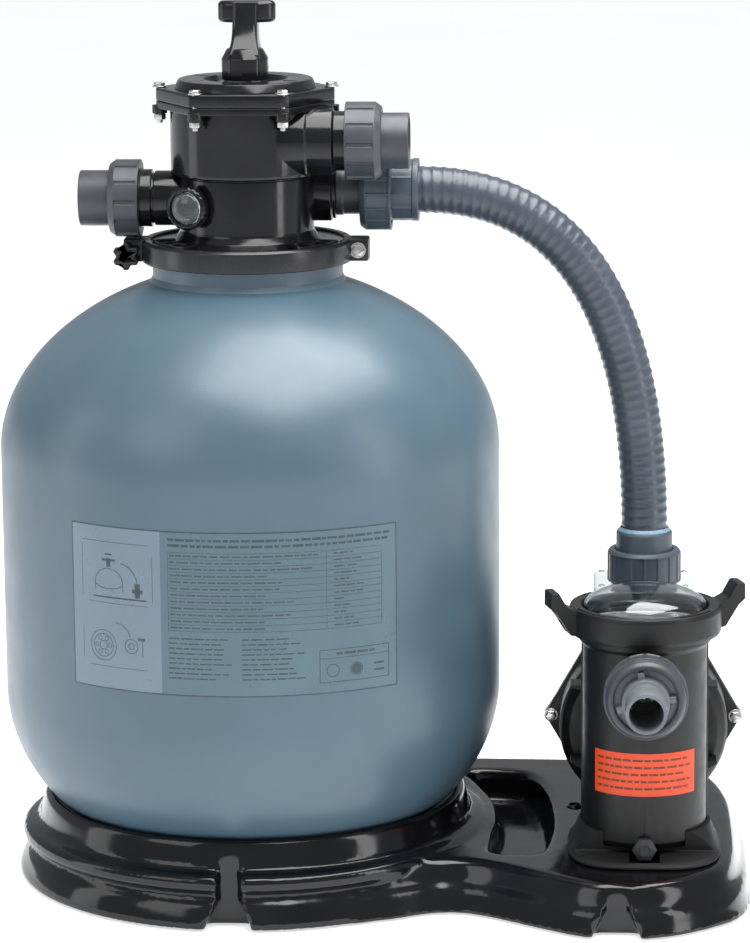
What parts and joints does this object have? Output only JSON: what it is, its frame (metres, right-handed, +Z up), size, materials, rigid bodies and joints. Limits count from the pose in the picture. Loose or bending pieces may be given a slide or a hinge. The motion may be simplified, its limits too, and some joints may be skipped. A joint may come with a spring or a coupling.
{
  "type": "sand filter unit",
  "caption": "Pool sand filter: round tank with a multiport valve and T-handle, an arched hose, and a pump with a clear-lidded strainer pot on one base tray.",
  "frame": {"origin": "on the floor, on the tank's axis, at the flat bottom of the tray's central well", "axes": "+Z up along the tank's axis, +X towards the pump, -Y towards the front, where the pump's inlet points"},
  "size_m": [0.8065, 0.566, 0.937],
  "materials": {
    "tank_grey": "satin, faint mould texture",
    "base_black": "high gloss, vacuum formed",
    "valve_black": "semi-gloss, moulded",
    "nut_grey": "satin",
    "nut_blue_grey": "satin",
    "hose_grey": "semi-gloss, ribbed",
    "pump_black": "satin, fine texture",
    "clear_plastic": "clear, glossy",
    "basket_cream": "matt",
    "pale_plastic": "satin",
    "steel": "brushed stainless",
    "rubber": "matt",
    "winding": "varnished"
  },
  "bodies": {
    "filter": {"tank_shell": "tank_grey", "base_tray": "base_black", "standpipe": "pale_plastic", "lateral_hub": "pale_plastic", "flange_oring": "rubber", "cover_oring": "rubber", "spider_gasket": "rubber", "shaft_seal": "rubber", "valve_body": "valve_black", "valve_cover": "valve_black", "sight_bezel": "valve_black", "sight_lens": "clear_plastic", "clamp_front": "valve_black", "clamp_rear": "valve_black", "clamp_stud": "steel", "clamp_bolt": "steel", "waste_tail": "nut_grey", "return_tail": "nut_grey", "hose_port_fitting": "valve_black", "hose_top_collar": "valve_black", "hose": "hose_grey", "hose_bottom_collar": "pump_black", "pump_housing": "pump_black", "pump_foot": "pump_black", "seal_plate": "pump_black", "motor_stator": "winding", "motor_housing": "pump_black", "terminal_box": "pale_plastic", "fan_cover": "pump_black", "flange_bolt_left": "steel", "flange_bolt_right": "steel", "inlet_tail": "pump_black", "cover_bolt_1": "steel", "cover_bolt_2": "steel", "cover_bolt_3": "steel", "cover_bolt_4": "steel", "cover_bolt_5": "steel", "cover_bolt_6": "steel"},
    "selector": {"stem_washer": "steel"},
    "stem": {"valve_rotor": "valve_black", "handle_pin": "steel", "rotor_spring": "steel"},
    "handle": {"valve_handle": "valve_black"},
    "waste_nut": {"waste_nut": "nut_grey"},
    "return_nut": {"return_nut": "nut_grey"},
    "hose_top_nut": {"hose_top_nut": "nut_blue_grey"},
    "pump_outlet_nut": {"pump_outlet_nut": "nut_blue_grey"},
    "inlet_nut": {"inlet_nut": "nut_blue_grey"},
    "star_knob": {"star_knob": "nut_grey"},
    "drain_plug": {"drain_plug": "pump_black"},
    "lid": {"pump_lid": "clear_plastic", "lid_oring": "rubber"},
    "lid_ring": {"lid_ring": "pump_black"},
    "basket": {"strainer_basket": "basket_cream"},
    "motor_rotor": {"motor_shaft": "steel", "impeller": "pale_plastic", "motor_fan": "pale_plastic"}
  },
  "joints": [
    {"name": "selector_turn", "type": "hinge", "parent": "filter", "child": "selector", "pos_m": [0, 0, 0.855], "axis": [0, 0, 1], "continuous": true},
    {"name": "rotor_lift", "type": "slide", "parent": "selector", "child": "stem", "axis": [0, 0, 1], "range_m": [0, 0.0101], "deforming": ["rotor_spring"]},
    {"name": "handle_press", "type": "hinge", "parent": "stem", "child": "handle", "pos_m": [0, 0, 0.869], "axis": [-1, 0, 0], "range_deg": [0, 25], "stiffness_Nm_per_rad": 2, "springref_deg": -8.59},
    {"name": "waste_nut_turn", "type": "hinge", "parent": "filter", "child": "waste_nut", "pos_m": [-0.128, 0, 0.731], "axis": [-1, 0, 0], "continuous": true},
    {"name": "return_nut_turn", "type": "hinge", "parent": "filter", "child": "return_nut", "pos_m": [0.125, -0.03, 0.795], "axis": [1, 0, 0], "continuous": true},
    {"name": "hose_top_nut_turn", "type": "hinge", "parent": "filter", "child": "hose_top_nut", "pos_m": [0.135, 0.032, 0.7355], "axis": [1, 0, 0], "continuous": true},
    {"name": "pump_outlet_nut_turn", "type": "hinge", "parent": "filter", "child": "pump_outlet_nut", "pos_m": [0.422, 0.032, 0.328], "axis": [0, 0, 1], "continuous": true},
    {"name": "inlet_nut_turn", "type": "hinge", "parent": "filter", "child": "inlet_nut", "pos_m": [0.422, -0.22, 0.244], "axis": [0, -1, 0], "continuous": true},
    {"name": "star_knob_turn", "type": "hinge", "parent": "filter", "child": "star_knob", "pos_m": [-0.127, -0.022, 0.672], "axis": [0, -1, 0], "continuous": true},
    {"name": "drain_plug_turn", "type": "hinge", "parent": "filter", "child": "drain_plug", "pos_m": [0.422, -0.17, 0.069], "axis": [0, -1, 0], "continuous": true},
    {"name": "lid_lift", "type": "slide", "parent": "filter", "child": "lid", "axis": [0, 0, 1], "range_m": [0, 0.3]},
    {"name": "lid_ring_turn", "type": "hinge", "parent": "lid", "child": "lid_ring", "pos_m": [0.422, -0.1, 0.3], "axis": [0, 0, 1], "range_deg": [0, 45]},
    {"name": "basket_lift", "type": "slide", "parent": "filter", "child": "basket", "axis": [0, 0, 1], "range_m": [0, 0.2251]},
    {"name": "motor_spin", "type": "hinge", "parent": "filter", "child": "motor_rotor", "pos_m": [0.422, 0.15, 0.15], "axis": [0, 1, 0], "continuous": true}
  ],
  "couplings": [
    {"joint": "rotor_lift", "follows": "handle_press", "m_per_rad": 0.0229},
    {"joint": "basket_lift", "follows": "lid_lift", "ratio": 0.75}
  ]
}
